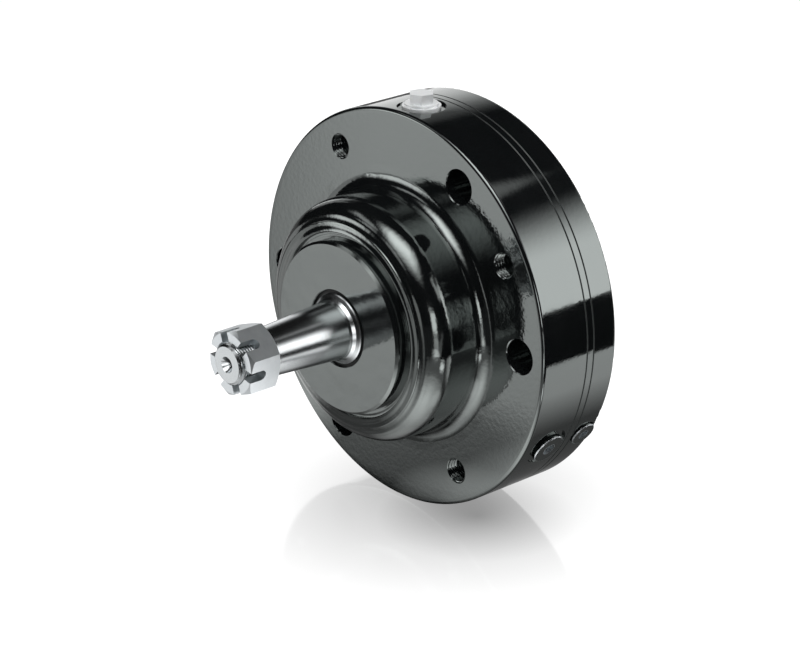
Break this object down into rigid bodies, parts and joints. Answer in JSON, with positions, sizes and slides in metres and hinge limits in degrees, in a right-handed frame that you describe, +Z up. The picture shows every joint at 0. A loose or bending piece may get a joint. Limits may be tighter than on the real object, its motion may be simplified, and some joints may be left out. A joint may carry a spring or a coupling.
{
  "type": "hydraulic brake",
  "caption": "Round flanged wet disc brake with a tapered output shaft, held on by springs and released by oil pressure.",
  "frame": {"origin": "on the shaft axis, in the front face of the mounting flange", "axes": "+Y along the axis from the shaft end to the motor face, +Z up through the fill plug, +X to the right seen from the shaft end"},
  "size_m": [0.2, 0.1593, 0.2064],
  "materials": {
    "black_enamel": "gloss black enamel",
    "painted_plug": "gloss black enamel over steel",
    "ground_steel": "ground and polished",
    "zinc_steel": "bright zinc plate",
    "key_steel": "machined, oiled",
    "bearing_steel": "ground",
    "cage_steel": "pressed",
    "friction_facing": "sintered facing on a steel core",
    "plate_steel": "rolled",
    "piston_iron": "turned",
    "spring_steel": "blued",
    "seal_rubber": "matt nitrile"
  },
  "bodies": {
    "root": {"front_housing": "black_enamel", "spacer_ring": "black_enamel", "rear_cover": "black_enamel", "seal_carrier": "black_enamel", "shaft_seal": "seal_rubber", "front_bearing_cup": "bearing_steel", "rear_bearing_cup": "bearing_steel", "torque_pins": "key_steel", "cover_screws": "zinc_steel", "fill_plug": "zinc_steel", "fill_plug_washer": "zinc_steel", "drain_plug": "painted_plug", "release_plug": "painted_plug", "housing_seal": "seal_rubber", "cover_seal": "seal_rubber", "sleeve_seal": "seal_rubber", "disc_spring_1": "spring_steel", "disc_spring_2": "spring_steel"},
    "shaft": {"output_shaft": "ground_steel", "castle_nut": "zinc_steel", "woodruff_key": "key_steel", "front_bearing_cone": "bearing_steel", "rear_bearing_cone": "bearing_steel", "disc_hub": "key_steel", "hub_key": "key_steel", "hub_retaining_ring": "key_steel"},
    "front_roller_set": {"front_rollers": "bearing_steel", "front_bearing_cage": "cage_steel"},
    "rear_roller_set": {"rear_rollers": "bearing_steel", "rear_bearing_cage": "cage_steel"},
    "piston": {"piston": "piston_iron", "piston_seal": "seal_rubber", "pressure_plate": "plate_steel"},
    "disc_1": {"friction_disc_1": "friction_facing"},
    "separator": {"separator_plate": "plate_steel"},
    "disc_2": {"friction_disc_2": "friction_facing"}
  },
  "joints": [
    {"name": "shaft_spin", "type": "hinge", "parent": "root", "child": "shaft", "pos_m": [0, 0, 0], "axis": [0, 1, 0], "continuous": true},
    {"name": "front_roller_orbit", "type": "hinge", "parent": "root", "child": "front_roller_set", "pos_m": [0, 0, 0], "axis": [0, 1, 0], "continuous": true},
    {"name": "rear_roller_orbit", "type": "hinge", "parent": "root", "child": "rear_roller_set", "pos_m": [0, 0, 0], "axis": [0, 1, 0], "continuous": true},
    {"name": "piston_slide", "type": "slide", "parent": "root", "child": "piston", "axis": [0, 1, 0], "range_m": [0, 0.0012], "deforming": ["disc_spring_1", "disc_spring_2"]},
    {"name": "disc_1_slide", "type": "slide", "parent": "shaft", "child": "disc_1", "axis": [0, 1, 0], "range_m": [0, 0.0003]},
    {"name": "separator_slide", "type": "slide", "parent": "root", "child": "separator", "axis": [0, 1, 0], "range_m": [0, 0.0006]},
    {"name": "disc_2_slide", "type": "slide", "parent": "shaft", "child": "disc_2", "axis": [0, 1, 0], "range_m": [0, 0.0009]}
  ],
  "couplings": [
    {"joint": "front_roller_orbit", "follows": "shaft_spin", "ratio": 0.4237},
    {"joint": "rear_roller_orbit", "follows": "shaft_spin", "ratio": 0.4529},
    {"joint": "disc_1_slide", "follows": "piston_slide", "ratio": 0.25},
    {"joint": "separator_slide", "follows": "piston_slide", "ratio": 0.5},
    {"joint": "disc_2_slide", "follows": "piston_slide", "ratio": 0.75}
  ]
}
